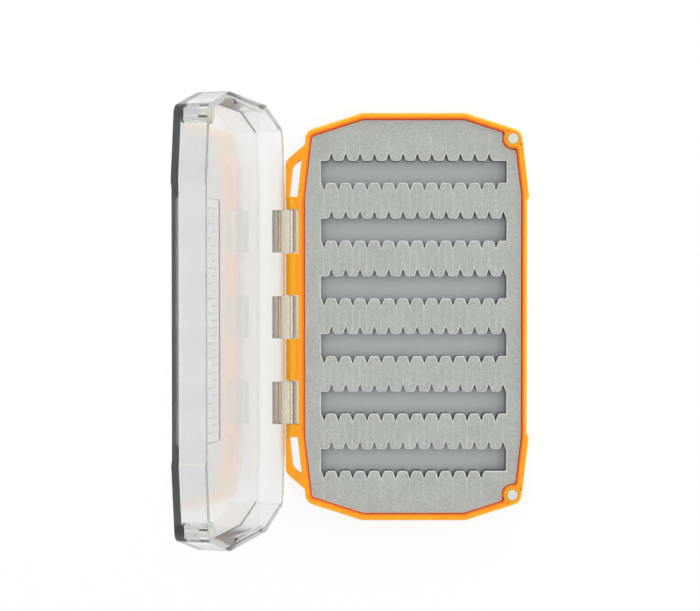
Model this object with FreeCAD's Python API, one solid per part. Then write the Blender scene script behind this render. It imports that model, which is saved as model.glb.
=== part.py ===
import FreeCAD, Part
import math
import os
from FreeCAD import Vector

# A pocket case for fishing flies, in millimetres: a tray lined with slit foam, and a clear lid on a
# pinned hinge. +X points from the hinge to the latch side, +Y along the case, +Z up. The origin is the
# centre of the tray's underside. The lid is drawn closed and then turned to its open stop.

# Outline that the tray and the lid share
body_length = 150.0
body_width = 84.8
end_flat = 38.2
corner_set_in_x = 2.8
corner_set_in_y = 6.6
side_slant_length = 23.6
corner_radius = 3.7
least_inner_radius = 0.9

# Tray
tray_height = 12.0
tray_floor = 2.0
end_wall = 2.2
hinge_wall = 2.0
latch_wall = 2.4
tray_foot_round = 1.6
thumb_recess_depth = 0.66
thumb_recess_set_in = 0.8
thumb_recess_ramp = 1.2

# Corner magnets on the latch side, and the bosses that hold them
magnet_radius = 2.0
magnet_from_side = 5.9
magnet_from_end = 9.4
magnet_fit = 0.03
tray_magnet_height = 2.0
lid_magnet_height = 3.5
tray_boss_radius = 3.6
tray_boss_blend = 1.0
dimple_radius = 0.45
dimple_depth = 0.4
dimple_distance = 3.35
dimple_angles = (125.0, -38.0)

# Foam: an adhesive film, a smooth backing sheet and a die-cut slit mat
foam_gap = 0.4
film_thickness = 0.2
backing_thickness = 2.6
mat_thickness = 6.0
trough_end_margin = 5.6
trough_width = 8.1
trough_pitch = 21.25
trough_shift = 0.3
least_end_row = 14.0
notch_pitch = 5.275
notch_mouth = 2.1
notch_tip_width = 0.2
notch_depth = 2.7
notch_end_margin = 1.2
tooth_round = 0.45
slit_stop = 1.2
end_slit_length = 9.9

# Lid
lid_depth = 11.6
lid_wall = 2.0
lid_panel = 2.1
lid_edge_round = 0.35
lid_inner_round = 0.35
rim_gap = 0.15
lid_boss_radius = 2.65
lid_collar_radius = 3.1
lid_collar_height = 1.2
rib_length = 27.0
rib_thickness = 0.6
rib_height = 0.4
rib_drop = 0.6
rib_clearance = 0.5
nameplate_length = 81.4
nameplate_width = 13.5
nameplate_depth = 0.5
nameplate_from_middle = 7.9
nameplate_corner = 0.8
tick_pitch = 2.5
tick_width = 0.45
tick_height = 0.3
tick_length = 3.6
long_tick_length = 7.2
tick_set_in = 3.0

# Hinge
hinge_from_side = 2.7
hinge_below_rim = 1.3
barrel_radius = 2.0
beam_set_in = 0.6
beam_gusset = 4.2
beam_lip = 1.5
fill_below_rim = 0.2
knuckle_count = 3
knuckle_length = 15.5
knuckle_end_margin = 4.95
knuckle_side_gap = 0.3
arm_shoulder = 3.6
arm_height = 4.9
arm_wall_clearance = 0.5
heel_length = 1.2
stop_clearance = 0.15
open_angle = 104.5
pin_radius = 0.8
pin_fixed_fit = 0.02
pin_running_fit = 0.06
pin_set_in = 0.4

# Lanyard ears at both ends of the hinge
ear_thickness = 3.3
ear_root_from_end = 11.6
ear_tip_from_end = 17.75
ear_root_sink = 1.0
ear_corner_round = 3.5
slot_corner_round = 4.0
slot_end_from_end = 17.0
slot_shoulder_from_end = 19.5
slot_web = 0.35
strap_width = 1.5
strap_shoulder_width = 2.7

# One overrun serves every cut, and one tolerance picks edges out by their place
overrun = 1.0
match_tolerance = 0.01

# Worked out from the sizes above
half_length = body_length / 2
half_width = body_width / 2
side_flat_half = half_length - corner_set_in_y - side_slant_length
hinge_x = -(half_width + hinge_from_side)
hinge_z = tray_height - hinge_below_rim
lid_bottom = tray_height + rim_gap
lid_top = tray_height + lid_depth
magnet_x = half_width - magnet_from_side
magnet_y = half_length - magnet_from_end
beam_half = side_flat_half - beam_set_in
knuckle_pitch = (2 * (beam_half - knuckle_end_margin) - knuckle_length) / (knuckle_count - 1)
foam_low = tray_floor
backing_low = foam_low + film_thickness
mat_low = backing_low + backing_thickness
mat_high = mat_low + mat_thickness
foam_length = body_length - 2 * (end_wall + foam_gap)
foam_width = body_width - hinge_wall - latch_wall - 2 * foam_gap
trough_count = int((foam_length - 2 * least_end_row - trough_width) / trough_pitch) + 1
trough_length = foam_width - 2 * trough_end_margin
notch_count = int((trough_length - 2 * notch_end_margin) / notch_pitch) + 1
end_notch_count = notch_count - 1


def line_crossing(a, b, c, d):
    """The point where the line through a and b meets the line through c and d."""
    run = (b[0] - a[0], b[1] - a[1])
    other = (d[0] - c[0], d[1] - c[1])
    share = ((c[0] - a[0]) * other[1] - (c[1] - a[1]) * other[0]) / (run[0] * other[1] - run[1] * other[0])
    return a[0] + share * run[0], a[1] + share * run[1]


def moved_edge(a, b, inset):
    """An edge of an outline that runs anticlockwise, moved inwards."""
    length = math.hypot(b[0] - a[0], b[1] - a[1])
    across = (-(b[1] - a[1]) / length * inset, (b[0] - a[0]) / length * inset)
    return (a[0] + across[0], a[1] + across[1]), (b[0] + across[0], b[1] + across[1])


def body_outline(end_inset=0, hinge_inset=0, latch_inset=0):
    """The twelve-sided outline, anticlockwise, as points with a corner radius each."""
    corner_x = half_width - corner_set_in_x
    corner_y = half_length - corner_set_in_y
    latch_half = [(half_width, side_flat_half), (corner_x, corner_y), (end_flat / 2, half_length)]
    hinge_half = [(-x, y) for x, y in reversed(latch_half)]
    upper = latch_half + hinge_half
    corners = upper + [(-x, -y) for x, y in upper]
    insets = [latch_inset] + [end_inset] * 3 + [hinge_inset] * 3 + [end_inset] * 3 + [latch_inset] * 2
    count = len(corners)
    edges = [moved_edge(corners[i], corners[(i + 1) % count], insets[i]) for i in range(count)]
    points = []
    for i, corner in enumerate(corners):
        x, y = line_crossing(*edges[i - 1], *edges[i])
        sharp = i % 3 == 1
        inset = max(insets[i - 1], insets[i])
        points.append((x, y, max(corner_radius - inset, least_inner_radius) if sharp else 0))
    return points


def rounded_wire(points, z):
    """A closed wire through (x, y, radius) points, with an arc at each point that has a radius."""
    starts = []
    for i, (x, y, radius) in enumerate(points):
        here = Vector(x, y, z)
        back = (Vector(*points[i - 1][:2], z) - here).normalize()
        ahead = (Vector(*points[(i + 1) % len(points)][:2], z) - here).normalize()
        if radius:
            half_angle = back.getAngle(ahead) / 2
            run = radius / math.tan(half_angle)
            inwards = (back + ahead).normalize()
            middle = here + inwards * (radius / math.sin(half_angle) - radius)
            starts.append((here + back * run, middle, here + ahead * run))
        else:
            starts.append((here, None, here))
    edges = []
    for i, (first, middle, last) in enumerate(starts):
        if middle:
            edges.append(Part.Arc(first, middle, last).toShape())
        edges.append(Part.LineSegment(last, starts[(i + 1) % len(starts)][0]).toShape())
    return Part.Wire(edges)


def prism(points, low, high):
    """A straight prism over an outline, from one level to another."""
    return Part.Face(rounded_wire(points, low)).extrude(Vector(0, 0, high - low))


def plain(points):
    """Points without corner radii."""
    return [(x, y, 0) for x, y in points]


def box(x_low, x_high, y_low, y_high, z_low, z_high):
    return Part.makeBox(x_high - x_low, y_high - y_low, z_high - z_low, Vector(x_low, y_low, z_low))


def post(radius, x, y, low, high):
    return Part.makeCylinder(radius, high - low, Vector(x, y, low))


def rod_along_y(radius, y_low, y_high):
    """A rod on the hinge axis."""
    return Part.makeCylinder(radius, y_high - y_low, Vector(hinge_x, y_low, hinge_z), Vector(0, 1, 0))


def section_along_y(points, y_low, y_high):
    """A prism along Y over an outline given as (out from the axis, up from the axis)."""
    corners = [Vector(hinge_x + across, y_low, hinge_z + up) for across, up in points]
    face = Part.Face(Part.makePolygon(corners + corners[:1]))
    return face.extrude(Vector(0, y_high - y_low, 0))


def level_edges(shape, z):
    """The edges of a shape that lie flat at one level."""
    return [e for e in shape.Edges if abs(e.BoundBox.ZMin - z) < match_tolerance
            and abs(e.BoundBox.ZMax - z) < match_tolerance]


def side_x(y):
    """Half the body's width at a height along it."""
    return half_width - max(0, abs(y) - side_flat_half) * corner_set_in_x / side_slant_length


def cavity(end_inset, hinge_inset, latch_inset, boss_radius, low, high):
    """The room inside the tray's walls, drawn in round the two magnet bosses."""
    room = prism(body_outline(end_inset, hinge_inset, latch_inset), low, high)
    for side in (-1, 1):
        room = room.cut(post(boss_radius, magnet_x, side * magnet_y, low, high))
    prongs = []
    for edge in room.Edges:
        upright = abs(edge.BoundBox.ZLength - (high - low)) < match_tolerance
        start = edge.Vertexes[0].Point
        reach = math.hypot(start.x - magnet_x, abs(start.y) - magnet_y)
        if upright and abs(reach - boss_radius) < match_tolerance:
            prongs.append(edge)
    return room.makeFillet(tray_boss_blend, prongs)


def thumb_recess(low, high):
    """A shallow recess along the latch side."""
    bottom = half_width - thumb_recess_depth
    long_half = side_flat_half - thumb_recess_set_in
    short_half = long_half - thumb_recess_ramp
    slope = thumb_recess_ramp / thumb_recess_depth
    far_half = long_half + overrun * slope
    points = [(bottom, -short_half), (half_width + overrun, -far_half),
              (half_width + overrun, far_half), (bottom, short_half)]
    return prism(plain(points), low, high)


def knuckle_middles():
    first = -(knuckle_count - 1) / 2 * knuckle_pitch
    return [first + i * knuckle_pitch for i in range(knuckle_count)]


def hinge_beam():
    """The barrel along the tray's side, its gusset, and the gaps that the lid's knuckles fill."""
    beam = rod_along_y(barrel_radius, -beam_half, beam_half)
    root = hinge_from_side + hinge_wall / 2
    fill = hinge_below_rim - fill_below_rim
    gusset = [(-barrel_radius, 0), (-barrel_radius, -beam_lip), (root, -beam_lip - beam_gusset),
              (root, fill), (0, fill)]
    beam = beam.fuse(section_along_y(gusset, -beam_half, beam_half))
    gap_half = knuckle_length / 2 + knuckle_side_gap
    reach = barrel_radius + overrun
    for middle in knuckle_middles():
        slot = [(-reach, -reach - beam_gusset), (hinge_from_side, -reach - beam_gusset),
                (hinge_from_side, reach), (-reach, reach)]
        beam = beam.cut(section_along_y(slot, middle - gap_half, middle + gap_half))
    return beam


def lanyard_ear(side):
    """A slotted ear beside one end of the hinge, on the side given as 1 or -1."""
    outer = hinge_x - barrel_radius
    root_y = half_length - ear_root_from_end
    tip_y = half_length - ear_tip_from_end
    slot_end = half_length - slot_end_from_end
    shoulder_y = half_length - slot_shoulder_from_end
    outline = [(-half_width + ear_root_sink, beam_half - overrun, 0), (-side_x(root_y) + ear_root_sink, root_y, 0),
               (-side_x(root_y), root_y, 0), (outer, tip_y, ear_corner_round), (outer, beam_half - overrun, 0)]
    slot = [(-side_x(beam_half) - slot_web, beam_half, 0), (-side_x(slot_end) - slot_web, slot_end, 0),
            (outer + strap_shoulder_width, shoulder_y, slot_corner_round), (outer + strap_width, beam_half, 0)]
    low = tray_height - ear_thickness
    ear = prism([(x, side * y, radius) for x, y, radius in outline], low, tray_height)
    return ear.cut(prism([(x, side * y, radius) for x, y, radius in slot], low - overrun, tray_height + overrun))


def make_tray():
    tray = prism(body_outline(), 0, tray_height)
    tray = tray.cut(thumb_recess(-overrun, tray_height + overrun))
    tray = tray.makeFillet(tray_foot_round, level_edges(tray, 0))
    tray = tray.fuse(hinge_beam())
    for side in (-1, 1):
        tray = tray.fuse(lanyard_ear(side))
    tray = tray.cut(cavity(end_wall, hinge_wall, latch_wall, tray_boss_radius,
                           tray_floor, tray_height + overrun))
    for side in (-1, 1):
        y = side * magnet_y
        pocket_low = tray_height - tray_magnet_height
        tray = tray.cut(post(magnet_radius + magnet_fit, magnet_x, y, pocket_low, tray_height + overrun))
        for angle in dimple_angles:
            turn = math.radians(angle)
            x = magnet_x + dimple_distance * math.cos(turn)
            dimple_y = y + side * dimple_distance * math.sin(turn)
            tray = tray.cut(post(dimple_radius, x, dimple_y, tray_height - dimple_depth,
                                 tray_height + overrun))
    tray = tray.cut(rod_along_y(pin_radius + pin_fixed_fit, -beam_half - overrun, beam_half + overrun))
    return tray.removeSplitter()


def foam_room(low, high):
    return cavity(end_wall + foam_gap, hinge_wall + foam_gap, latch_wall + foam_gap,
                  tray_boss_radius + foam_gap, low, high)


def notched_edge(y, outward, count, slit_length, start):
    """One long edge of a trough, walked along +X, with a notch and a slit at each tooth gap."""
    points = []
    for i in range(count):
        x = start + i * notch_pitch
        tip = y + outward * notch_depth
        slit_end = y + outward * slit_length
        points += [(x - notch_mouth / 2, y, tooth_round if i else 0), (x - notch_tip_width / 2, tip, 0),
                   (x - notch_tip_width / 2, slit_end, 0), (x + notch_tip_width / 2, slit_end, 0),
                   (x + notch_tip_width / 2, tip, 0),
                   (x + notch_mouth / 2, y, tooth_round if i < count - 1 else 0)]
    return points


def trough(index):
    """The outline of one trough, anticlockwise: notches cut into the rows on both sides of it."""
    middle = trough_shift + ((trough_count - 1) / 2 - index) * trough_pitch
    low = middle - trough_width / 2
    high = middle + trough_width / 2
    half = trough_length / 2
    row_height = trough_pitch - trough_width
    first = -half + notch_end_margin
    last = half - notch_end_margin - (notch_count - 1) * notch_pitch
    end_row = index == trough_count - 1
    lower_count = end_notch_count if end_row else notch_count
    upper_count = end_notch_count if index == 0 else notch_count
    lower_slit = end_slit_length if end_row else row_height - slit_stop
    upper_slit = end_slit_length if index == 0 else row_height - slit_stop
    lower = notched_edge(low, -1, lower_count, lower_slit, first)
    upper = notched_edge(high, 1, upper_count, upper_slit, last)
    return [(-half, low, 0)] + lower + [(half, low, 0), (half, high, 0)] + upper[::-1] + [(-half, high, 0)]


def make_foam_mat():
    mat = foam_room(mat_low, mat_high)
    for index in range(trough_count):
        mat = mat.cut(prism(trough(index), mat_low - overrun, mat_high + overrun))
    return mat


def lid_arm(middle):
    """A knuckle on the lid's hinge wall, with a heel that meets the tray's side at the open stop."""
    low = middle - knuckle_length / 2
    high = middle + knuckle_length / 2
    wall_foot = hinge_below_rim + rim_gap
    inner = hinge_from_side - arm_wall_clearance
    root = hinge_from_side + lid_wall / 2
    arm = [(-barrel_radius, 0), (0, 0), (barrel_radius, 0), (inner, wall_foot), (root, wall_foot),
           (root, hinge_below_rim + arm_height), (hinge_from_side, hinge_below_rim + arm_height),
           (-barrel_radius, arm_shoulder)]
    knuckle = rod_along_y(barrel_radius, low, high).fuse(section_along_y(arm, low, high))
    reach = hinge_from_side - stop_clearance
    heel = section_along_y([(0, 0), (0, -barrel_radius), (reach, -heel_length), (reach, 0)], low, high)
    heel.rotate(Vector(hinge_x, 0, hinge_z), Vector(0, 1, 0), open_angle)
    return knuckle.fuse(heel)


def lid_rib(side):
    """A rib inside a short wall of the lid that drops into the tray and lines the two up."""
    wall_face = half_length - lid_wall
    guide_face = half_length - end_wall - rib_clearance
    inner = guide_face - rib_thickness
    half = rib_length / 2
    seat = box(-half, half, *sorted((side * inner, side * (wall_face + lid_wall / 2))),
               lid_bottom, lid_bottom + rib_height)
    tongue = box(-half, half, *sorted((side * inner, side * guide_face)),
                 tray_height - rib_drop, lid_bottom + rib_height)
    return seat.fuse(tongue)


def nameplate_ticks():
    """A plain scale of raised ticks in the nameplate recess, every second one long."""
    low = lid_top - nameplate_depth
    edge = nameplate_from_middle - long_tick_length / 2
    reach = nameplate_length / 2 - tick_set_in
    count = int(2 * reach / tick_pitch) + 1
    ticks = []
    for i in range(count):
        y = (i - (count - 1) / 2) * tick_pitch
        length = tick_length if i % 2 else long_tick_length
        ticks.append(box(edge, edge + length, y - tick_width / 2, y + tick_width / 2,
                         low - tick_height, low + tick_height))
    return ticks


def make_lid_closed():
    lid = prism(body_outline(), lid_bottom, lid_top)
    lid = lid.cut(thumb_recess(lid_bottom - overrun, lid_top + overrun))
    lid = lid.makeFillet(lid_edge_round, level_edges(lid, lid_top))
    panel_low = lid_top - lid_panel
    room = prism(body_outline(lid_wall, lid_wall, lid_wall), lid_bottom - overrun, panel_low)
    room = room.makeFillet(lid_inner_round, level_edges(room, panel_low))
    lid = lid.cut(room)
    for side in (-1, 1):
        y = side * magnet_y
        lid = lid.fuse(post(lid_boss_radius, magnet_x, y, lid_bottom, panel_low + lid_panel / 2))
        lid = lid.fuse(post(lid_collar_radius, magnet_x, y, lid_bottom, lid_bottom + lid_collar_height))
        lid = lid.cut(post(magnet_radius + magnet_fit, magnet_x, y, lid_bottom - overrun,
                           lid_bottom + lid_magnet_height))
        lid = lid.fuse(lid_rib(side))
    for middle in knuckle_middles():
        lid = lid.fuse(lid_arm(middle))
    lid = lid.cut(rod_along_y(pin_radius + pin_running_fit, -beam_half, beam_half))
    half_plate = nameplate_width / 2
    low_x = nameplate_from_middle - half_plate
    high_x = nameplate_from_middle + half_plate
    plate = [(low_x, -nameplate_length / 2), (high_x, -nameplate_length / 2),
             (high_x, nameplate_length / 2), (low_x, nameplate_length / 2)]
    lid = lid.cut(prism([(x, y, nameplate_corner) for x, y in plate],
                        lid_top - nameplate_depth, lid_top + overrun))
    return lid.multiFuse(nameplate_ticks()).removeSplitter()


def opened(shape):
    """A copy of a piece of the lid, turned from closed to the open stop."""
    turned = shape.copy()
    turned.rotate(Vector(hinge_x, 0, hinge_z), Vector(0, 1, 0), -open_angle)
    return turned


def save(node, shape):
    solids = shape.Solids
    single = solids[0] if len(solids) == 1 else shape
    print(node, "valid", single.isValid(), "solids", len(solids), "volume", round(single.Volume, 1))
    single.exportStep(os.path.join("parts", node + ".step"))


os.makedirs("parts", exist_ok=True)
save("tray", make_tray())
save("foam_film", foam_room(foam_low, backing_low))
save("foam_backing", foam_room(backing_low, mat_low))
save("foam_mat", make_foam_mat())
save("hinge_pin", rod_along_y(pin_radius, -beam_half + pin_set_in, beam_half - pin_set_in))
save("lid_shell", opened(make_lid_closed()))
for end, side in (("lower", -1), ("upper", 1)):
    magnet_low = tray_height - tray_magnet_height
    save("tray_magnet_" + end, post(magnet_radius, magnet_x, side * magnet_y, magnet_low, tray_height))
    lid_magnet = post(magnet_radius, magnet_x, side * magnet_y, lid_bottom, lid_bottom + lid_magnet_height)
    save("lid_magnet_" + end, opened(lid_magnet))
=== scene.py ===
"""Slit foam fly box: an orange tray, a clear hinged lid, foam, magnets and a steel pin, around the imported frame."""
import math

import bmesh
import bpy
from bpy.props import FloatProperty, FloatVectorProperty, PointerProperty
from bpy.types import NodeSocket, Operator, Panel, PropertyGroup
from mathutils import Matrix, Vector


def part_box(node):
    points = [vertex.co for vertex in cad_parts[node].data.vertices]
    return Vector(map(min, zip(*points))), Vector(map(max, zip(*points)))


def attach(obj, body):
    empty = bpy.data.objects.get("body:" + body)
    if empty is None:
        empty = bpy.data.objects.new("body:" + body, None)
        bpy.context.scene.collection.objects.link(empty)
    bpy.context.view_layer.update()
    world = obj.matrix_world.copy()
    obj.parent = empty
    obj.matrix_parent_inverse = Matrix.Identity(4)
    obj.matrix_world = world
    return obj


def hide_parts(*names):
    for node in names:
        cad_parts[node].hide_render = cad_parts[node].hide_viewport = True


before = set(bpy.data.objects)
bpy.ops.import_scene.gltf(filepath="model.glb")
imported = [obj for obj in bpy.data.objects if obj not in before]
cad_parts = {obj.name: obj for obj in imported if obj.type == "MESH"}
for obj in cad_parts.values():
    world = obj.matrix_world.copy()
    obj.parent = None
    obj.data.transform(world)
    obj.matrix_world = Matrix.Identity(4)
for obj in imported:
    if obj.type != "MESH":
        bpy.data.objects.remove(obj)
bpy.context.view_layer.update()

bl_info = {
    "name": "Slit Foam Fly Box",
    "version": (1, 0, 0),
    "blender": (4, 5, 0),
    "location": "3D View > Sidebar > Fly Box",
    "description": "Finishes a fly box with moulded and clear plastic, slit foam, magnets and a hinge pin",
    "category": "Object",
}

MM = 0.001
BASE = "case_base"
LID = "lid"

# Tolerances: lengths in metres, angles in radians, and parts of a unit normal.
WELD = 2e-6
LEVEL = 0.01 * MM
FLAT = math.radians(0.5)
SHARP = math.radians(30)
SQUARE_ON = 0.99

# Places and lengths on the tray and the foam, in the CAD frame.
HALF_WIDTH = 42.4 * MM
HALF_LENGTH = 75.0 * MM
HINGE_X = -45.1 * MM
BEAM_FACE = -42.6 * MM
EAR_ROOT = 63.41 * MM
EAR_SIDE = -39.9 * MM
BORE_SPAN = 5.0 * MM
DIMPLE_SHIFTS = (-2.2 * MM, 2.4 * MM)
LEAST_ROUNDING = 0.03 * MM
ROW_PITCH = 21.25 * MM
ROW_SHIFT = 0.3 * MM
ROW_CUTS = 6
SLIT_REACH = 34.0 * MM
SLIT_END = 0.25 * MM
TOOTH_REACH = 2.75 * ROW_PITCH
DISH_SLOPE = 0.12 * MM

# Places and lengths on the open lid.
KNUCKLE_PITCH = 31.5 * MM
KNUCKLE_HALF = 7.8 * MM
KNUCKLE_SIDE = -51.5 * MM
KNUCKLE_REACH = 1.3 * KNUCKLE_PITCH
GLOW_START = -49.4 * MM
GLOW_FULL = -47.2 * MM
BEAM_END = 49.0 * MM
GLOW_END = 56.0 * MM
PLATE_SIDE = -68.0 * MM
PLATE_REACH = 45.0 * MM
PLATE_FOOT = 50.0 * MM
TICK_SPAN = 8.0 * MM


def size(name, description, default, **limits):
    """A length in metres that the sidebar shows with its unit."""
    return FloatProperty(name=name, description=description, default=default, subtype="DISTANCE", unit="LENGTH",
                         precision=5, **limits)


def amount(name, description, default):
    """A plain number from 0 to 1."""
    return FloatProperty(name=name, description=description, default=default, min=0.0, max=1.0, subtype="FACTOR")


def colour(name, description, default):
    """A linear colour without alpha."""
    return FloatVectorProperty(name=name, description=description, default=default, size=3, min=0.0, max=1.0,
                               subtype="COLOR")


# Settings


class TraySettings(PropertyGroup):
    """Edges and colours of the moulded tray, with a painted glow inside its walls and a painted highlight outside
    them.
    """

    rim_edge: size("Rim edge", "Rounding along the outside of the rim", 0.85 * MM, min=0.0)
    inner_edge: size("Inner edge", "Rounding along the inside of the rim", 0.75 * MM, min=0.0)
    hinge_edge: size("Hinge edge", "Rounding along the inside of the hinge wall", 1.2 * MM, min=0.0)
    small_edge: size("Small edge", "Rounding of the ears and the hinge barrels", 0.3 * MM, min=0.0)
    bore_edge: size("Bore edge", "Rounding of magnet pockets, pin bores and ejector dimples", 0.07 * MM, min=0.0)
    wall_growth: size("Wall growth", "How far the inner wall leans in to the foam", 0.2 * MM, min=0.0)
    tint: colour("Plastic", "Colour of the moulding", (0.965, 0.37, 0.009))
    # Painted glow: a redder colour painted on faces that look inwards, in place of light that has passed through the
    # walls.
    painted_inner_glow: colour("Painted inner glow", "Redder colour inside the walls, where light has passed through them",
                      (0.93, 0.15, 0.008))
    # Painted highlight: a yellower colour painted on faces that look outwards, most on those that face the far (+Y)
    # end. It follows which way a face looks, not the thickness of the moulding.
    painted_outer_highlight: colour("Painted outer highlight", "Yellower colour of the outer walls, where the moulding is thin",
                      (0.965, 0.5, 0.03))


class FoamSettings(PropertyGroup):
    """Cut edges and colours of the foam, with a painted highlight on the rounded cut edges."""

    cut_edge: size("Cut edge", "Softness of the die-cut edges of teeth and troughs", 0.32 * MM, min=0.0)
    slit_closing: size("Slit closing", "How far the springy foam closes each side of a slit", 0.07 * MM, min=0.0)
    slit_edge: amount("Slit edge", "Share of that softness along the slits", 0.5)
    tooth_round: size("Tooth rounding", "How far the rounding reaches from each corner of a tooth", 0.62 * MM,
                      min=0.0)
    tint: colour("Foam", "Colour of the cellular foam", (0.4, 0.424, 0.393))
    # Painted highlight: the rounded cut edges of teeth, troughs and slits get this lighter colour in place of the
    # light they catch.
    painted_lip_highlight: colour("Painted lip highlight", "Colour where the cutter has rolled the edge over", (0.66, 0.68, 0.65))
    backing_tint: colour("Backing", "Colour of the smooth backing sheet", (0.455, 0.48, 0.485))
    film_tint: colour("Film", "Colour of the adhesive film", (0.75, 0.72, 0.6))


class HardwareSettings(PropertyGroup):
    """Magnets and hinge pin."""

    magnet_chamfer: size("Magnet chamfer", "Broken edge of the plated discs", 0.22 * MM, min=0.0)
    dish_radius: size("Dish radius", "Radius of the shallow pressed dish in each disc", 1.35 * MM, min=0.0)
    dish_depth: size("Dish depth", "Depth of the pressed dish", 0.05 * MM, min=0.0)
    pin_chamfer: size("Pin chamfer", "Chamfer on both ends of the pin", 0.25 * MM, min=0.0)
    plating: colour("Plating", "Colour of the nickel plating", (0.75, 0.76, 0.67))
    steel: colour("Steel", "Colour of the drawn steel", (0.62, 0.61, 0.58))


class LidSettings(PropertyGroup):
    """Edges and tint of the clear lid, with a painted glow and a painted reflection of the orange tray near the
    hinge.
    """

    wall_edge: size("Wall edge", "Rounding along the rim, the knuckles and the magnet tubes", 0.1 * MM, min=0.0)
    plate_edge: size("Plate edge", "Rounding along the nameplate recess", 0.22 * MM, min=0.0)
    fine_edge: size("Fine edge", "Rounding of the scale marks and the bores", 0.06 * MM, min=0.0)
    tint: colour("Smoke", "Colour that long paths through the plastic take on", (0.8, 0.815, 0.81))
    density: FloatProperty(name="Smoke density", description="How fast light fades inside the plastic, per metre",
                           default=190.0, min=0.0)
    roughness: amount("Roughness", "Blur of the moulded surface", 0.09)
    clear_tint: colour("Clear", "Colour of light through one wall", (1.0, 1.0, 1.0))
    # Painted light: the rim beside the orange barrels gets a painted orange glow, and the knuckles a painted warm
    # reflection of the tray, in place of light from the tray.
    painted_rim_glow: colour("Glow", "Colour of the lid's rim beside the orange barrels", (0.83, 0.54, 0.28))
    painted_knuckle_reflection: colour("Knuckles", "Colour of the thick knuckles", (0.86, 0.82, 0.71))


class StageSettings(PropertyGroup):
    """Camera, floor and lights."""

    camera_place: FloatVectorProperty(name="Camera", description="Place of the camera", size=3,
                                      subtype="TRANSLATION", unit="LENGTH", precision=5,
                                      default=(-0.02344, 0.01372, 0.54463))
    camera_tilt: FloatProperty(name="Camera tilt", description="Lean of the camera from straight down",
                               default=-0.01771, subtype="ANGLE", unit="ROTATION")
    lens: FloatProperty(name="Lens", description="Focal length in millimetres", default=74.54, min=1.0)
    floor_size: size("Floor", "Side of the square floor", 4.0, min=0.1)
    fill: FloatProperty(name="Fill", description="Strength of the even light from all sides", default=0.55,
                        min=0.0)
    key: FloatProperty(name="Key", description="Power of the main soft lamp in watts", default=5.0, min=0.0)
    low: FloatProperty(name="Low", description="Power of the low lamp beyond the far end in watts", default=2.8,
                       min=0.0)
    floor_tint: colour("Floor colour", "Colour of the floor where lamps light it", (0.95, 0.95, 0.95))
    floor_white: amount("Floor white", "Share of plain white in the floor that the camera sees", 0.8)
    floor_through: amount("Floor behind glass", "Share of plain white in the floor seen in or through glass", 0.5)


# Meshes


def welded_copy(node):
    """A bmesh of a CAD node with the corners of its loose triangles joined."""
    form = bmesh.new()
    form.from_mesh(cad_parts[node].data)
    bmesh.ops.remove_doubles(form, verts=form.verts, dist=WELD)
    return form


def join_flat_faces(form, cuts=()):
    """Joins flat faces. Cuts, each an axis and a place on it, run through holes so that no face goes round one."""
    for axis, place in cuts:
        normal = [float(i == axis) for i in range(3)]
        cut = bmesh.ops.bisect_plane(form, geom=form.verts[:] + form.edges[:] + form.faces[:], dist=WELD / 4,
                                     plane_co=[place * part for part in normal], plane_no=normal)
        for part in cut["geom_cut"]:
            if isinstance(part, bmesh.types.BMEdge):
                part.seam = True
    bmesh.ops.dissolve_limit(form, angle_limit=FLAT, verts=form.verts, edges=form.edges,
                             use_dissolve_boundaries=False, delimit={"SEAM"})
    for edge in form.edges:
        edge.seam = False


def merged_copy(node, cuts=()):
    """A bmesh of a CAD node with whole flat faces."""
    form = welded_copy(node)
    join_flat_faces(form, cuts)
    return form


def is_convex(edge):
    """True for an edge that stands out and is sharp enough to be rounded."""
    return edge.is_manifold and edge.calc_face_angle_signed(0.0) > SHARP


def grouped(parts, beside):
    """The parts, split into groups that touch. beside gives what lies next to a part."""
    left = dict.fromkeys(parts)
    groups = []
    while left:
        start = next(iter(left))
        del left[start]
        front = [start]
        group = [start]
        while front:
            for near in beside(front.pop()):
                if near in left:
                    del left[near]
                    front.append(near)
                    group.append(near)
        groups.append(group)
    return groups


def chains(edges):
    """The edges, split into groups that touch, the smallest first."""
    groups = grouped(edges, lambda edge: [near for corner in edge.verts for near in corner.link_edges])
    return sorted(groups, key=lambda group: (len(group), tuple(group[0].verts[0].co)))


def spread(group):
    """Lowest and highest corner of a group of edges."""
    places = [corner.co for edge in group for corner in edge.verts]
    low = Vector([min(place[i] for place in places) for i in range(3)])
    high = Vector([max(place[i] for place in places) for i in range(3)])
    return low, high


def room_beside(edge):
    """The least distance from an edge to the other corners of its faces that lie abreast of it."""
    start = edge.verts[0].co
    along = edge.verts[1].co - start
    length = along.length
    along.normalize()
    room = 1.0
    for face in edge.link_faces:
        for corner in face.verts:
            reach = corner.co - start
            place = reach.dot(along)
            away = (reach - along * place).length
            if -WELD <= place <= length + WELD and away > 5 * WELD:
                room = min(room, away)
    return room


def round_edges(form, edges, offset, segments=2):
    """Rounds the edges by the offset."""
    bmesh.ops.bevel(form, geom=list(edges), offset=offset, offset_type="OFFSET", segments=segments, profile=0.5,
                    affect="EDGES", clamp_overlap=True, material=-1, loop_slide=True)


def new_piece(name, form, node=None, body=None):
    """Turns a bmesh into an object at the origin that stands for a CAD node."""
    mesh = bpy.data.meshes.new(name)
    form.to_mesh(mesh)
    form.free()
    piece = bpy.data.objects.new(name, mesh)
    bpy.context.scene.collection.objects.link(piece)
    if body:
        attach(piece, body)
    if node:
        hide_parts(node)
    return piece


def soften_edges(piece, width, segments):
    """Rounds every edge by its own share of the width."""
    soften = piece.modifiers.new("Soft edges", "BEVEL")
    soften.limit_method = "WEIGHT"
    soften.width = width
    soften.segments = segments
    soften.profile = 0.5
    soften.use_clamp_overlap = False
    return soften


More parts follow.
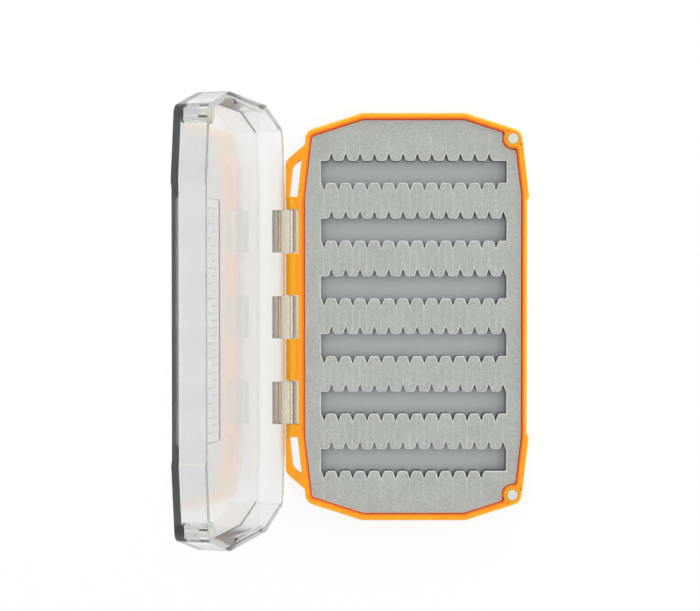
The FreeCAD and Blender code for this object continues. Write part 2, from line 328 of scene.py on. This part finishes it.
def smooth_shade(piece):
    """Smooth shading that keeps flat faces flat and unrounded corners crisp."""
    mesh = piece.data
    mesh.shade_smooth()
    mesh.set_sharp_from_angle(angle=SHARP)
    weighted = piece.modifiers.new("Flat faces", "WEIGHTED_NORMAL")
    weighted.keep_sharp = True
    weighted.weight = 80


# Materials


def add(tree, kind, inputs=None, **settings):
    """A node with its settings. Each input takes a value or the output of another node."""
    node = tree.nodes.new(kind)
    for name, value in settings.items():
        setattr(node, name, value)
    for name, source in (inputs or {}).items():
        if isinstance(source, NodeSocket):
            tree.links.new(source, node.inputs[name])
        else:
            node.inputs[name].default_value = source
    return node


def calc(tree, operation, *parts):
    """The result of a math node on numbers or outputs of other nodes."""
    return add(tree, "ShaderNodeMath", dict(enumerate(parts)), operation=operation).outputs[0]


def scaled_colour(tree, tint, factor):
    """A colour made lighter or darker by a factor that changes over the surface."""
    return add(tree, "ShaderNodeVectorMath", {0: tint, "Scale": factor}, operation="SCALE").outputs[0]


def run_between(tree, value, start, end, low=0.0, high=1.0):
    """A value that runs from low to high while another runs from start to end."""
    limits = {"Value": value, "From Min": start, "From Max": end, "To Min": low, "To Max": high}
    return add(tree, "ShaderNodeMapRange", limits).outputs["Result"]


def mixed_colour(tree, share, first, second):
    """The first colour where the share is 0 and the second where it is 1."""
    return add(tree, "ShaderNodeMix", {0: share, 6: first, 7: second}, data_type="RGBA").outputs[2]


def mixed_shader(tree, share, first, second):
    """The first shader where the share is 0 and the second where it is 1."""
    return add(tree, "ShaderNodeMixShader", {0: share, 1: first, 2: second}).outputs["Shader"]


def place_parts(tree, output):
    """The three parts of the place or the normal on the piece."""
    place = add(tree, "ShaderNodeTexCoord")
    return add(tree, "ShaderNodeSeparateXYZ", {0: place.outputs[output]}).outputs


def rgba(tint, factor=1.0):
    """A colour with full alpha, made lighter or darker by the factor."""
    return tuple(min(part * factor, 1.0) for part in tint) + (1.0,)


def colour_ramp(tree, stops, value):
    """The colours of a ramp with a stop for each pair of place and colour."""
    ramp = add(tree, "ShaderNodeValToRGB", {"Fac": value})
    while len(ramp.color_ramp.elements) < len(stops):
        ramp.color_ramp.elements.new(0.5)
    for stop, (position, tint) in zip(ramp.color_ramp.elements, stops):
        stop.position = position
        stop.color = rgba(tint)
    return ramp.outputs["Color"]


def new_group(name, inputs, outputs):
    """A shader node group with its named sockets: (group, outputs of its input node, its output node)."""
    group = bpy.data.node_groups.new(name, "ShaderNodeTree")
    for label, kind, value in inputs:
        made = group.interface.new_socket(name=label, in_out="INPUT", socket_type=kind)
        made.default_value = value
    for label, kind in outputs:
        group.interface.new_socket(name=label, in_out="OUTPUT", socket_type=kind)
    return group, add(group, "NodeGroupInput").outputs, add(group, "NodeGroupOutput")


def feed(tree, node, sources):
    """Links outputs to the named inputs of a node."""
    for label, source in sources.items():
        tree.links.new(source, node.inputs[label])


def foam_cells_group():
    """Cut closed-cell foam: open cells with walls between them and a slow change of shade."""
    if "Foam Cells" in bpy.data.node_groups:
        return bpy.data.node_groups["Foam Cells"]
    number = "NodeSocketFloat"
    shade = "NodeSocketColor"
    group, given, sink = new_group(
        "Foam Cells",
        [("Colour", shade, (0.5, 0.5, 0.5, 1)), ("Cells per Metre", number, 2600.0),
         ("Cell Contrast", number, 0.16), ("Mottle", number, 0.05)],
        [("Colour", shade), ("Height", number)])
    place = add(group, "ShaderNodeTexCoord").outputs["Object"]
    cells = add(group, "ShaderNodeTexVoronoi",
                {"Vector": place, "Scale": given["Cells per Metre"], "Randomness": 1.0}, feature="F1")
    grain = add(group, "ShaderNodeTexNoise", {"Vector": place, "Scale": 1900.0, "Detail": 3.0, "Roughness": 0.65})
    mottle = add(group, "ShaderNodeTexNoise", {"Vector": place, "Scale": 140.0, "Detail": 2.0, "Roughness": 0.5})
    both = calc(group, "MULTIPLY_ADD", cells.outputs["Distance"], 0.55, grain.outputs["Fac"])
    speckle = calc(group, "MULTIPLY", calc(group, "SUBTRACT", both, 0.78), given["Cell Contrast"])
    slow = calc(group, "MULTIPLY", calc(group, "SUBTRACT", mottle.outputs["Fac"], 0.5), given["Mottle"])
    lift = calc(group, "ADD", calc(group, "ADD", speckle, slow), 1.0)
    feed(group, sink, {"Colour": scaled_colour(group, given["Colour"], lift), "Height": both})
    return group


def moulded_skin_group():
    """Injection-moulded skin: fine spark-eroded grain, slow flow waves and a slight change of gloss."""
    if "Moulded Skin" in bpy.data.node_groups:
        return bpy.data.node_groups["Moulded Skin"]
    number = "NodeSocketFloat"
    shade = "NodeSocketColor"
    group, given, sink = new_group(
        "Moulded Skin",
        [("Colour", shade, (0.5, 0.5, 0.5, 1)), ("Roughness", number, 0.35), ("Grain per Metre", number, 3500.0),
         ("Gloss Change", number, 0.08), ("Colour Change", number, 0.04)],
        [("Colour", shade), ("Roughness", number), ("Height", number)])
    place = add(group, "ShaderNodeTexCoord").outputs["Object"]
    grain = add(group, "ShaderNodeTexNoise",
                {"Vector": place, "Scale": given["Grain per Metre"], "Detail": 2.0, "Roughness": 0.6})
    flow = add(group, "ShaderNodeTexNoise", {"Vector": place, "Scale": 60.0, "Detail": 2.0, "Distortion": 0.4})
    waves = calc(group, "SUBTRACT", flow.outputs["Fac"], 0.5)
    gloss = calc(group, "MULTIPLY_ADD", waves, given["Gloss Change"], given["Roughness"])
    tone = calc(group, "MULTIPLY_ADD", waves, given["Colour Change"], 1.0)
    feed(group, sink, {"Colour": scaled_colour(group, given["Colour"], tone), "Roughness": gloss,
                       "Height": grain.outputs["Fac"]})
    return group


def new_material(name, group=None, inputs=None, shader=None, bump=None):
    """A material whose Principled BSDF is fed by a shared group: (material, tree, principled, group node)."""
    material = bpy.data.materials.new(name)
    material.use_nodes = True
    tree = material.node_tree
    principled = tree.nodes["Principled BSDF"]
    for label, value in (shader or {}).items():
        principled.inputs[label].default_value = value
    effect = None
    if group:
        effect = add(tree, "ShaderNodeGroup", inputs, node_tree=group)
        tree.links.new(effect.outputs["Colour"], principled.inputs["Base Color"])
        if "Roughness" in effect.outputs:
            tree.links.new(effect.outputs["Roughness"], principled.inputs["Roughness"])
        if bump:
            add_bump(tree, principled, effect.outputs["Height"], *bump)
    return material, tree, principled, effect


def add_bump(tree, principled, height, strength, distance):
    """Relief on the surface from a height."""
    relief = add(tree, "ShaderNodeBump", {"Strength": strength, "Distance": distance, "Height": height})
    tree.links.new(relief.outputs["Normal"], principled.inputs["Normal"])


def orange_plastic(settings):
    """Glossy, slightly translucent moulded plastic, with a painted glow that makes it redder inside the walls and a
    painted highlight that makes it yellower outside them, strongest towards the far (+Y) end.
    """
    material, tree, principled, effect = new_material(
        "Orange Moulding", moulded_skin_group(),
        {"Roughness": 0.36, "Grain per Metre": 2600.0, "Gloss Change": 0.12, "Colour Change": 0.05},
        {"IOR": 1.5, "Specular IOR Level": 0.35, "Subsurface Weight": 0.75,
         "Subsurface Radius": (1.0, 0.42, 0.1), "Subsurface Scale": 3.0 * MM},
        (0.12, 0.02 * MM))
    place = add(tree, "ShaderNodeTexCoord").outputs
    # Painted light: a face's colour follows which way it looks, outwards from the middle of the box and shifted
    # towards the far (+Y) end. The beam and hinge barrels are left out.
    outwards = add(tree, "ShaderNodeVectorMath",
                   {0: place["Object"], 1: (1 / HALF_WIDTH, 1 / HALF_LENGTH, 0.0), 2: (0.0, 0.3, 0.0)},
                   operation="MULTIPLY_ADD")
    facing = add(tree, "ShaderNodeVectorMath", {0: outwards.outputs[0], 1: place["Normal"]},
                 operation="DOT_PRODUCT")
    on_box = calc(tree, "GREATER_THAN", place_parts(tree, "Object")["X"], BEAM_FACE)
    share = calc(tree, "MULTIPLY", facing.outputs["Value"], on_box)
    # Painted glow (redder) on faces that look inwards, the plain colour on level faces, and a painted highlight
    # (yellower) on faces that look outwards.
    stops = [(0.22, settings.painted_inner_glow), (0.48, settings.tint), (0.51, settings.tint), (0.75, settings.painted_outer_highlight)]
    feed(tree, effect, {"Colour": colour_ramp(tree, stops, run_between(tree, share, -1.0, 1.0))})
    return material


def foam_skin(name, tint, per_metre, contrast, mottle, bump, wall=1.0):
    """Foam with its cells, in the finish of one face. Upright cut walls get painted shade: their colour is darker by
    the factor.
    """
    material, tree, principled, effect = new_material(
        name, foam_cells_group(),
        {"Colour": rgba(tint), "Cells per Metre": per_metre, "Cell Contrast": contrast, "Mottle": mottle},
        {"Roughness": 0.95, "Specular IOR Level": 0.2}, bump)
    if wall < 1.0:
        # Painted shade: faces that stand upright are darkened to the wall factor, and level faces keep the full
        # colour.
        share = run_between(tree, place_parts(tree, "Normal")["Z"], 0.1, 0.7, wall, 1.0)
        feed(tree, principled, {"Base Color": scaled_colour(tree, effect.outputs["Colour"], share)})
    return material


def painted_hinge_glow(tree, settings):
    """A colour: clear, with a painted orange glow on the rim near the hinge, where the plastic gathers light from the
    orange tray, and a painted warm reflection of the tray on the knuckles.
    """
    place = place_parts(tree, "Object")
    from_middle = calc(tree, "ABSOLUTE", place["Y"])
    near_rim = run_between(tree, place["X"], GLOW_START, GLOW_FULL)
    near_beam = run_between(tree, from_middle, GLOW_END, BEAM_END)
    wall = mixed_colour(tree, calc(tree, "MULTIPLY", near_rim, near_beam), rgba(settings.clear_tint),
                        rgba(settings.painted_rim_glow))
    # Painted reflection: the knuckles take a warm colour in place of the tray's light seen in them.
    from_knuckle = calc(tree, "PINGPONG", place["Y"], KNUCKLE_PITCH / 2)
    near_axis = calc(tree, "GREATER_THAN", place["X"], KNUCKLE_SIDE)
    in_row = calc(tree, "LESS_THAN", from_knuckle, KNUCKLE_HALF)
    in_hinge = calc(tree, "LESS_THAN", from_middle, KNUCKLE_REACH)
    on_knuckle = calc(tree, "MULTIPLY", calc(tree, "MULTIPLY", in_row, near_axis), in_hinge)
    return mixed_colour(tree, on_knuckle, wall, rgba(settings.painted_knuckle_reflection))


def clear_plastic(settings):
    """Clear, faintly smoky plastic that lets lamp light through and darkens along long paths."""
    material, tree, principled, effect = new_material(
        "Clear Smoke", moulded_skin_group(),
        {"Roughness": settings.roughness, "Grain per Metre": 400.0, "Gloss Change": 0.04, "Colour Change": 0.0},
        {"IOR": 1.58, "Transmission Weight": 1.0}, (0.04, 0.05 * MM))
    # The base colour carries the painted glow on the rim and the painted reflection on the knuckles near the hinge.
    feed(tree, effect, {"Colour": painted_hinge_glow(tree, settings)})
    lamp_ray = add(tree, "ShaderNodeLightPath").outputs["Is Shadow Ray"]
    passing = add(tree, "ShaderNodeBsdfTransparent", {"Color": (0.93, 0.935, 0.93, 1.0)})
    smoke = add(tree, "ShaderNodeVolumeAbsorption", {"Color": rgba(settings.tint), "Density": settings.density})
    either = mixed_shader(tree, lamp_ray, principled.outputs["BSDF"], passing.outputs["BSDF"])
    feed(tree, tree.nodes["Material Output"], {"Surface": either, "Volume": smoke.outputs["Volume"]})
    return material


def metal(name, tint, roughness, stretch, per_metre):
    """Metal with fine marks that run along one axis."""
    material, tree, principled, effect = new_material(name, shader={"Metallic": 1.0, "Roughness": roughness})
    place = add(tree, "ShaderNodeTexCoord").outputs["Object"]
    turned = add(tree, "ShaderNodeMapping", {"Vector": place, "Scale": stretch}).outputs["Vector"]
    marks = add(tree, "ShaderNodeTexNoise",
                {"Vector": turned, "Scale": per_metre, "Detail": 3.0, "Roughness": 0.6}).outputs["Fac"]
    feed(tree, principled, {
        "Roughness": run_between(tree, marks, 0.0, 1.0, roughness - 0.06, roughness + 0.1),
        "Base Color": mixed_colour(tree, marks, rgba(tint, 0.8), rgba(tint, 1.12))})
    add_bump(tree, principled, marks, 0.25, 0.01 * MM)
    return material


# Operators


def cavity_faces(form, below):
    """The faces that line the tray: its inner floor, and all that joins it up to the inner edge of the rim."""
    floors = [face for face in form.faces
              if face.normal.z > SQUARE_ON and face.calc_center_median().z < below]
    front = [max(floors, key=lambda face: face.calc_area())]
    found = set(front)
    while front:
        for edge in front.pop().edges:
            if not is_convex(edge):
                for face in edge.link_faces:
                    if face not in found:
                        found.add(face)
                        front.append(face)
    return found


def lean_wall(form, lining, growth):
    """Draws the lining of the tray towards the middle, so that its wall is thicker by the growth."""
    corners = list({corner for face in lining for corner in face.verts})
    reach = [max(abs(corner.co[i]) for corner in corners) for i in range(2)]
    shrink = [1.0 - growth / reach[i] for i in range(2)]
    bmesh.ops.scale(form, vec=(shrink[0], shrink[1], 1.0), verts=corners)


def tray_edge_width(edge, span, cavity, settings):
    """How far the rounding of an edge of the tray reaches. span is the size of the whole ring of edges."""
    first, second = (corner.co for corner in edge.verts)
    beside_ear = max(abs(first.y), abs(second.y)) < EAR_ROOT and min(first.x, second.x) < EAR_SIDE
    if any(face in cavity for face in edge.link_faces):
        width = settings.hinge_edge if beside_ear else settings.inner_edge
    elif span < BORE_SPAN:
        width = settings.bore_edge
    elif abs(first.z - second.z) < LEVEL and not beside_ear:
        width = settings.rim_edge
    else:
        width = settings.small_edge
    width = min(width, 0.8 * room_beside(edge) - settings.bore_edge)
    return max(width, LEAST_ROUNDING)


class FLYBOX_OT_tray(Operator):
    """Orange tray with softened rim, hinge barrels and bores"""

    bl_idname = "flybox.tray"
    bl_label = "Tray"

    def execute(self, context):
        settings = context.scene.flybox_tray
        low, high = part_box("tray_magnet_upper")
        magnet = (low[0] + high[0]) / 2
        cuts = [(0, magnet + shift) for shift in (0.0, *DIMPLE_SHIFTS)]
        form = merged_copy("tray", cuts + [(0, HINGE_X), (0, 0.0), (1, 0.0)])
        low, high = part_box("foam_mat")
        cavity = cavity_faces(form, low[2])
        lean_wall(form, cavity, settings.wall_growth)
        softness = form.edges.layers.float.new("bevel_weight_edge")
        for group in chains(edge for edge in form.edges if is_convex(edge)):
            near, far = spread(group)
            for edge in group:
                edge[softness] = tray_edge_width(edge, max(far - near), cavity, settings) / MM
        piece = new_piece("tray_moulding", form, "tray", BASE)
        piece.data.materials.append(orange_plastic(settings))
        soften_edges(piece, MM, 4).loop_slide = False
        smooth_shade(piece)
        return {"FINISHED"}


class FLYBOX_OT_foam_base(Operator):
    """Adhesive film and the smooth foam sheet that shows in the troughs"""

    bl_idname = "flybox.foam_base"
    bl_label = "Foam Backing"

    def execute(self, context):
        settings = context.scene.flybox_foam
        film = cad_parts["foam_film"]
        finish = new_material(
            "Adhesive Film", moulded_skin_group(),
            {"Colour": rgba(settings.film_tint), "Roughness": 0.45, "Grain per Metre": 900.0,
             "Gloss Change": 0.2, "Colour Change": 0.1}, {"IOR": 1.47}, (0.3, 0.03 * MM))[0]
        for holder in film.material_slots:
            holder.material = finish
        if not film.material_slots:
            film.data.materials.append(finish)
        form = merged_copy("foam_backing")
        round_edges(form, [edge for edge in form.edges if is_convex(edge)], settings.cut_edge * 0.6)
        piece = new_piece("foam_backing_sheet", form, "foam_backing", BASE)
        piece.data.materials.append(
            foam_skin("Smooth Foam", settings.backing_tint, 5200.0, 0.05, 0.05, (0.1, 0.05 * MM)))
        smooth_shade(piece)
        return {"FINISHED"}


def close_slits(form, shift):
    """Moves both walls of every slit towards each other."""
    moves = {}
    for face in form.faces:
        inside = max(abs(corner.co.x) for corner in face.verts) < SLIT_REACH
        if inside and abs(face.normal.x) > SQUARE_ON:
            for corner in face.verts:
                moves[corner] = math.copysign(shift, face.normal.x)
    for corner, move in moves.items():
        corner.co.x += move


def is_tooth_arc(face):
    """True for a narrow upright face that rounds the corner of a tooth, neither its flat tip nor its side."""
    within = all(abs(corner.co.x) < SLIT_REACH and abs(corner.co.y) < TOOTH_REACH for corner in face.verts)
    return within and abs(face.normal.z) < 0.01 and 0.36 < abs(face.normal.y) < 0.9995


def sharpen_teeth(form):
    """Draws the small arc at each corner of a tooth together, to the corner that its flat sides make."""
    arcs = grouped([face for face in form.faces if is_tooth_arc(face)],
                   lambda face: [near for edge in face.edges for near in edge.link_faces])
    for arc in arcs:
        corners = {corner for face in arc for corner in face.verts}
        outward = math.copysign(1.0, arc[0].normal.y)
        beside = {near for face in arc for edge in face.edges for near in edge.link_faces}
        upright = [near for near in beside if near not in arc and abs(near.normal.z) < 0.01]
        side = min(upright, key=lambda near: abs(near.normal.y))
        tip = max(corner.co.y * outward for corner in corners) * outward
        root = min(corners, key=lambda corner: corner.co.y * outward).co
        place = root.x - side.normal.y * (tip - root.y) / side.normal.x
        for corner in corners:
            corner.co.x = place
            corner.co.y = tip
    bmesh.ops.remove_doubles(form, verts=form.verts, dist=WELD)


def tooth_corners(form):
    """The upright edges at both ends of every tooth's flat tip."""
    found = []
    for edge in form.edges:
        first, second = (corner.co for corner in edge.verts)
        upright = max(abs(first.x - second.x), abs(first.y - second.y)) < WELD
        if upright and abs(first.x) < SLIT_REACH and is_convex(edge):
            sides = sorted(abs(face.normal.y) for face in edge.link_faces)
            if sides[1] > SQUARE_ON and 0.05 < sides[0] < 0.9:
                found.append(edge)
    return found


def is_slit_edge(edge):
    """True for an edge along a slit or across the end of one."""
    first, second = (corner.co for corner in edge.verts)
    along = abs(first.x - second.x) < WELD and abs(first.x) < SLIT_REACH
    return along or (abs(first.y - second.y) < WELD and edge.calc_length() < SLIT_END)


class FLYBOX_OT_foam_mat(Operator):
    """Die-cut foam mat with notched troughs and slits"""

    bl_idname = "flybox.foam_mat"
    bl_label = "Slit Foam Mat"

    def execute(self, context):
        settings = context.scene.flybox_foam
        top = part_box("foam_mat")[1][2]
        form = welded_copy("foam_mat")
        close_slits(form, settings.slit_closing)
        join_flat_faces(form, [(1, ROW_SHIFT + k * ROW_PITCH / 2) for k in range(-ROW_CUTS, ROW_CUTS + 1)])
        sharpen_teeth(form)
        round_edges(form, tooth_corners(form), settings.tooth_round, 5)
        softness = form.edges.layers.float.new("bevel_weight_edge")
        for edge in form.edges:
            if is_convex(edge) and min(corner.co.z for corner in edge.verts) >= top - LEVEL:
                edge[softness] = settings.slit_edge if is_slit_edge(edge) else 1.0
        piece = new_piece("foam_mat_slit", form, "foam_mat", BASE)
        # The slit foam's upright walls are darkened to 0.6 of its colour as painted shade. Its second slot is a
        # painted highlight for the rounded cut edges.
        piece.data.materials.append(
            foam_skin("Slit Foam", settings.tint, 2600.0, 0.62, 0.2, (0.6, 0.14 * MM), 0.6))
        piece.data.materials.append(
            foam_skin("Painted Foam Lip Highlight", settings.painted_lip_highlight, 2600.0, 0.4, 0.12, (0.4, 0.1 * MM)))
        # The rounded cut edges take the second slot, the painted highlight.
        soften_edges(piece, settings.cut_edge, 2).material = 1
        smooth_shade(piece)
        return {"FINISHED"}


def magnet_form(node, settings):
    """A plated disc in the place of a CAD magnet: chamfered on both faces, with a shallow dish in the outer one."""
    form = merged_copy(node)
    ends = sorted(form.faces, key=lambda face: face.calc_area())[-2:]
    face = max(ends, key=lambda end: end.normal.z)
    axis = face.normal.copy()
    middle = face.calc_center_median()
    height = (ends[0].calc_center_median() - ends[1].calc_center_median()).length
    radius = max((corner.co - middle).length for corner in face.verts)
    form.free()
    form = bmesh.new()
    bmesh.ops.create_cone(form, cap_ends=True, cap_tris=False, segments=64, radius1=radius, radius2=radius,
                          depth=height)
    round_edges(form, [edge for edge in form.edges if is_convex(edge)], settings.magnet_chamfer, 3)
    top = max(form.faces, key=lambda part: part.calc_center_median().z)
    for width in (radius - settings.magnet_chamfer - settings.dish_radius, DISH_SLOPE):
        bmesh.ops.inset_individual(form, faces=[top], thickness=width)
    bmesh.ops.translate(form, verts=list(top.verts), vec=(0, 0, -settings.dish_depth))
    turn = axis.to_track_quat("Z", "Y").to_matrix().to_4x4()
    place = Matrix.Translation(middle - axis * (height / 2)) @ turn
    bmesh.ops.transform(form, matrix=place, verts=form.verts)
    return form


class FLYBOX_OT_magnets(Operator):
    """Nickel-plated disc magnets in the tray's bosses and the lid's tubes"""

    bl_idname = "flybox.magnets"
    bl_label = "Magnets"

    def execute(self, context):
        settings = context.scene.flybox_hardware
        finish = metal("Nickel Plating", settings.plating, 0.28, (1.0, 1.0, 1.0), 2400.0)
        for node, body in (("tray_magnet_lower", BASE), ("tray_magnet_upper", BASE),
                           ("lid_magnet_lower", LID), ("lid_magnet_upper", LID)):
            piece = new_piece(node + "_disc", magnet_form(node, settings), node, body)
            piece.data.materials.append(finish)
            smooth_shade(piece)
        return {"FINISHED"}


class FLYBOX_OT_hinge_pin(Operator):
    """Drawn steel hinge pin with chamfered ends"""

    bl_idname = "flybox.hinge_pin"
    bl_label = "Hinge Pin"

    def execute(self, context):
        settings = context.scene.flybox_hardware
        low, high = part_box("hinge_pin")
        radius = (high[0] - low[0]) / 2
        form = bmesh.new()
        bmesh.ops.create_cone(form, cap_ends=True, cap_tris=False, segments=40, radius1=radius, radius2=radius,
                              depth=high[1] - low[1])
        round_edges(form, [edge for edge in form.edges if is_convex(edge)], settings.pin_chamfer, 3)
        centre = Vector([(low[i] + high[i]) / 2 for i in range(3)])
        turn = Matrix.Rotation(math.radians(90), 4, "X")
        bmesh.ops.transform(form, matrix=Matrix.Translation(centre) @ turn, verts=form.verts)
        piece = new_piece("hinge_pin_rod", form, "hinge_pin", BASE)
        piece.data.materials.append(metal("Drawn Steel", settings.steel, 0.24, (1.0, 0.04, 1.0), 5200.0))
        smooth_shade(piece)
        return {"FINISHED"}


class FLYBOX_OT_lid(Operator):
    """Clear lid with softened walls, knuckles, magnet tubes, ribs and nameplate recess"""

    bl_idname = "flybox.lid"
    bl_label = "Clear Lid"

    def execute(self, context):
        settings = context.scene.flybox_lid
        form = merged_copy("lid_shell")
        for group in chains(edge for edge in form.edges if is_convex(edge)):
            near, far = spread(group)
            plate = far.x < PLATE_SIDE and abs(near.y) < PLATE_REACH and near.z > PLATE_FOOT
            if max(far - near) < TICK_SPAN:
                offset = settings.fine_edge
            else:
                offset = settings.plate_edge if plate else settings.wall_edge
            round_edges(form, group, offset)
        piece = new_piece("lid_moulding", form, "lid_shell", LID)
        piece.data.materials.append(clear_plastic(settings))
        smooth_shade(piece)
        return {"FINISHED"}


def pale_floor(settings):
    """A pale floor that the camera sees as nearly white, and that keeps the shadow of the box."""
    material, tree, principled, effect = new_material(
        "Pale Floor",
        shader={"Base Color": rgba(settings.floor_tint), "Roughness": 0.9, "Specular IOR Level": 0.0})
    glow = add(tree, "ShaderNodeEmission", {"Color": (1, 1, 1, 1), "Strength": 1.0})
    seen = add(tree, "ShaderNodeLightPath").outputs
    in_glass = calc(tree, "MAXIMUM", seen["Is Glossy Ray"], seen["Is Transmission Ray"])
    through = calc(tree, "MULTIPLY", in_glass, settings.floor_through)
    share = calc(tree, "MULTIPLY_ADD", seen["Is Camera Ray"], settings.floor_white, through)
    mixed = mixed_shader(tree, share, principled.outputs["BSDF"], glow.outputs["Emission"])
    feed(tree, tree.nodes["Material Output"], {"Surface": mixed})
    return material


def studio_world(fill):
    """A world that lights evenly, and that camera, glossy and transmission rays see as plain white."""
    world = bpy.data.worlds.new("studio")
    world.use_nodes = True
    tree = world.node_tree
    even = tree.nodes["Background"]
    even.inputs["Color"].default_value = (1, 1, 1, 1)
    even.inputs["Strength"].default_value = fill
    white = add(tree, "ShaderNodeBackground", {"Color": (1, 1, 1, 1), "Strength": 1.0})
    seen = add(tree, "ShaderNodeLightPath").outputs
    direct = calc(tree, "MAXIMUM", seen["Is Camera Ray"], seen["Is Glossy Ray"])
    share = calc(tree, "MAXIMUM", direct, seen["Is Transmission Ray"])
    mixed = mixed_shader(tree, share, even.outputs["Background"], white.outputs["Background"])
    feed(tree, tree.nodes["World Output"], {"Surface": mixed})
    return world


def soft_lamp(name, place, aim, side, power):
    """A square soft lamp that points at a place."""
    light = bpy.data.lights.new(name, "AREA")
    light.shape = "SQUARE"
    light.size = side
    light.energy = power
    lamp = bpy.data.objects.new(name, light)
    lamp.location = place
    lamp.rotation_euler = (Vector(aim) - Vector(place)).to_track_quat("-Z", "Y").to_euler()
    lamp.visible_glossy = False
    bpy.context.scene.collection.objects.link(lamp)


def photo_camera(settings):
    """The camera above the box, as it stood for the photograph."""
    eye = bpy.data.cameras.new("camera")
    eye.sensor_fit = "HORIZONTAL"
    eye.sensor_width = 36.0
    eye.lens = settings.lens
    eye.clip_start = 0.01
    eye.clip_end = 20.0
    camera = bpy.data.objects.new("camera", eye)
    camera.location = settings.camera_place
    camera.rotation_euler = (settings.camera_tilt, 0.0, 0.0)
    bpy.context.scene.collection.objects.link(camera)
    return camera


class FLYBOX_OT_stage(Operator):
    """Camera, pale floor, even world light and soft lamps"""

    bl_idname = "flybox.stage"
    bl_label = "Stage"

    def execute(self, context):
        scene = context.scene
        settings = scene.flybox_stage
        scene.view_settings.view_transform = "Standard"
        scene.cycles.max_bounces = 24
        scene.cycles.glossy_bounces = 24
        scene.cycles.transmission_bounces = 24
        scene.camera = photo_camera(settings)
        form = bmesh.new()
        bmesh.ops.create_grid(form, x_segments=1, y_segments=1, size=settings.floor_size / 2,
                              matrix=Matrix.Translation((0.0, 0.0, -0.05 * MM)))
        floor = new_piece("floor", form)
        floor.data.materials.append(pale_floor(settings))
        scene.world = studio_world(settings.fill)
        soft_lamp("key", (0.05, 0.0, 0.95), (0.0, 0.0, 0.0), 1.1, settings.key)
        soft_lamp("far", (0.1, 0.95, 0.34), (0.0, 0.0, 0.01), 0.6, settings.low)
        soft_lamp("side", (0.9, 0.25, 0.36), (0.0, 0.0, 0.01), 0.6, settings.low * 0.8)
        return {"FINISHED"}


class FLYBOX_PT_pieces(Panel):
    """Sizes, colours and pieces of the fly box"""

    bl_label = "Fly Box"
    bl_idname = "FLYBOX_PT_pieces"
    bl_space_type = "VIEW_3D"
    bl_region_type = "UI"
    bl_category = "Fly Box"

    def draw(self, context):
        for piece, settings in PIECES:
            box = self.layout.box()
            box.operator(piece.bl_idname)
            group = getattr(context.scene, settings)
            for name in group.__annotations__:
                box.prop(group, name)


PIECES = (
    (FLYBOX_OT_stage, "flybox_stage"),
    (FLYBOX_OT_tray, "flybox_tray"),
    (FLYBOX_OT_foam_base, "flybox_foam"),
    (FLYBOX_OT_foam_mat, "flybox_foam"),
    (FLYBOX_OT_magnets, "flybox_hardware"),
    (FLYBOX_OT_hinge_pin, "flybox_hardware"),
    (FLYBOX_OT_lid, "flybox_lid"),
)
SETTINGS = (
    ("flybox_stage", StageSettings),
    ("flybox_tray", TraySettings),
    ("flybox_foam", FoamSettings),
    ("flybox_hardware", HardwareSettings),
    ("flybox_lid", LidSettings),
)


def register():
    for name, group in SETTINGS:
        bpy.utils.register_class(group)
        setattr(bpy.types.Scene, name, PointerProperty(type=group))
    for piece, settings in PIECES:
        bpy.utils.register_class(piece)
    bpy.utils.register_class(FLYBOX_PT_pieces)


def unregister():
    bpy.utils.unregister_class(FLYBOX_PT_pieces)
    for piece, settings in reversed(PIECES):
        bpy.utils.unregister_class(piece)
    for name, group in reversed(SETTINGS):
        delattr(bpy.types.Scene, name)
        bpy.utils.unregister_class(group)


def main():
    """Registers the add-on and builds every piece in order."""
    register()
    for piece, settings in PIECES:
        group, name = piece.bl_idname.split(".")
        getattr(getattr(bpy.ops, group), name)()


if __name__ == "__main__":
    main()
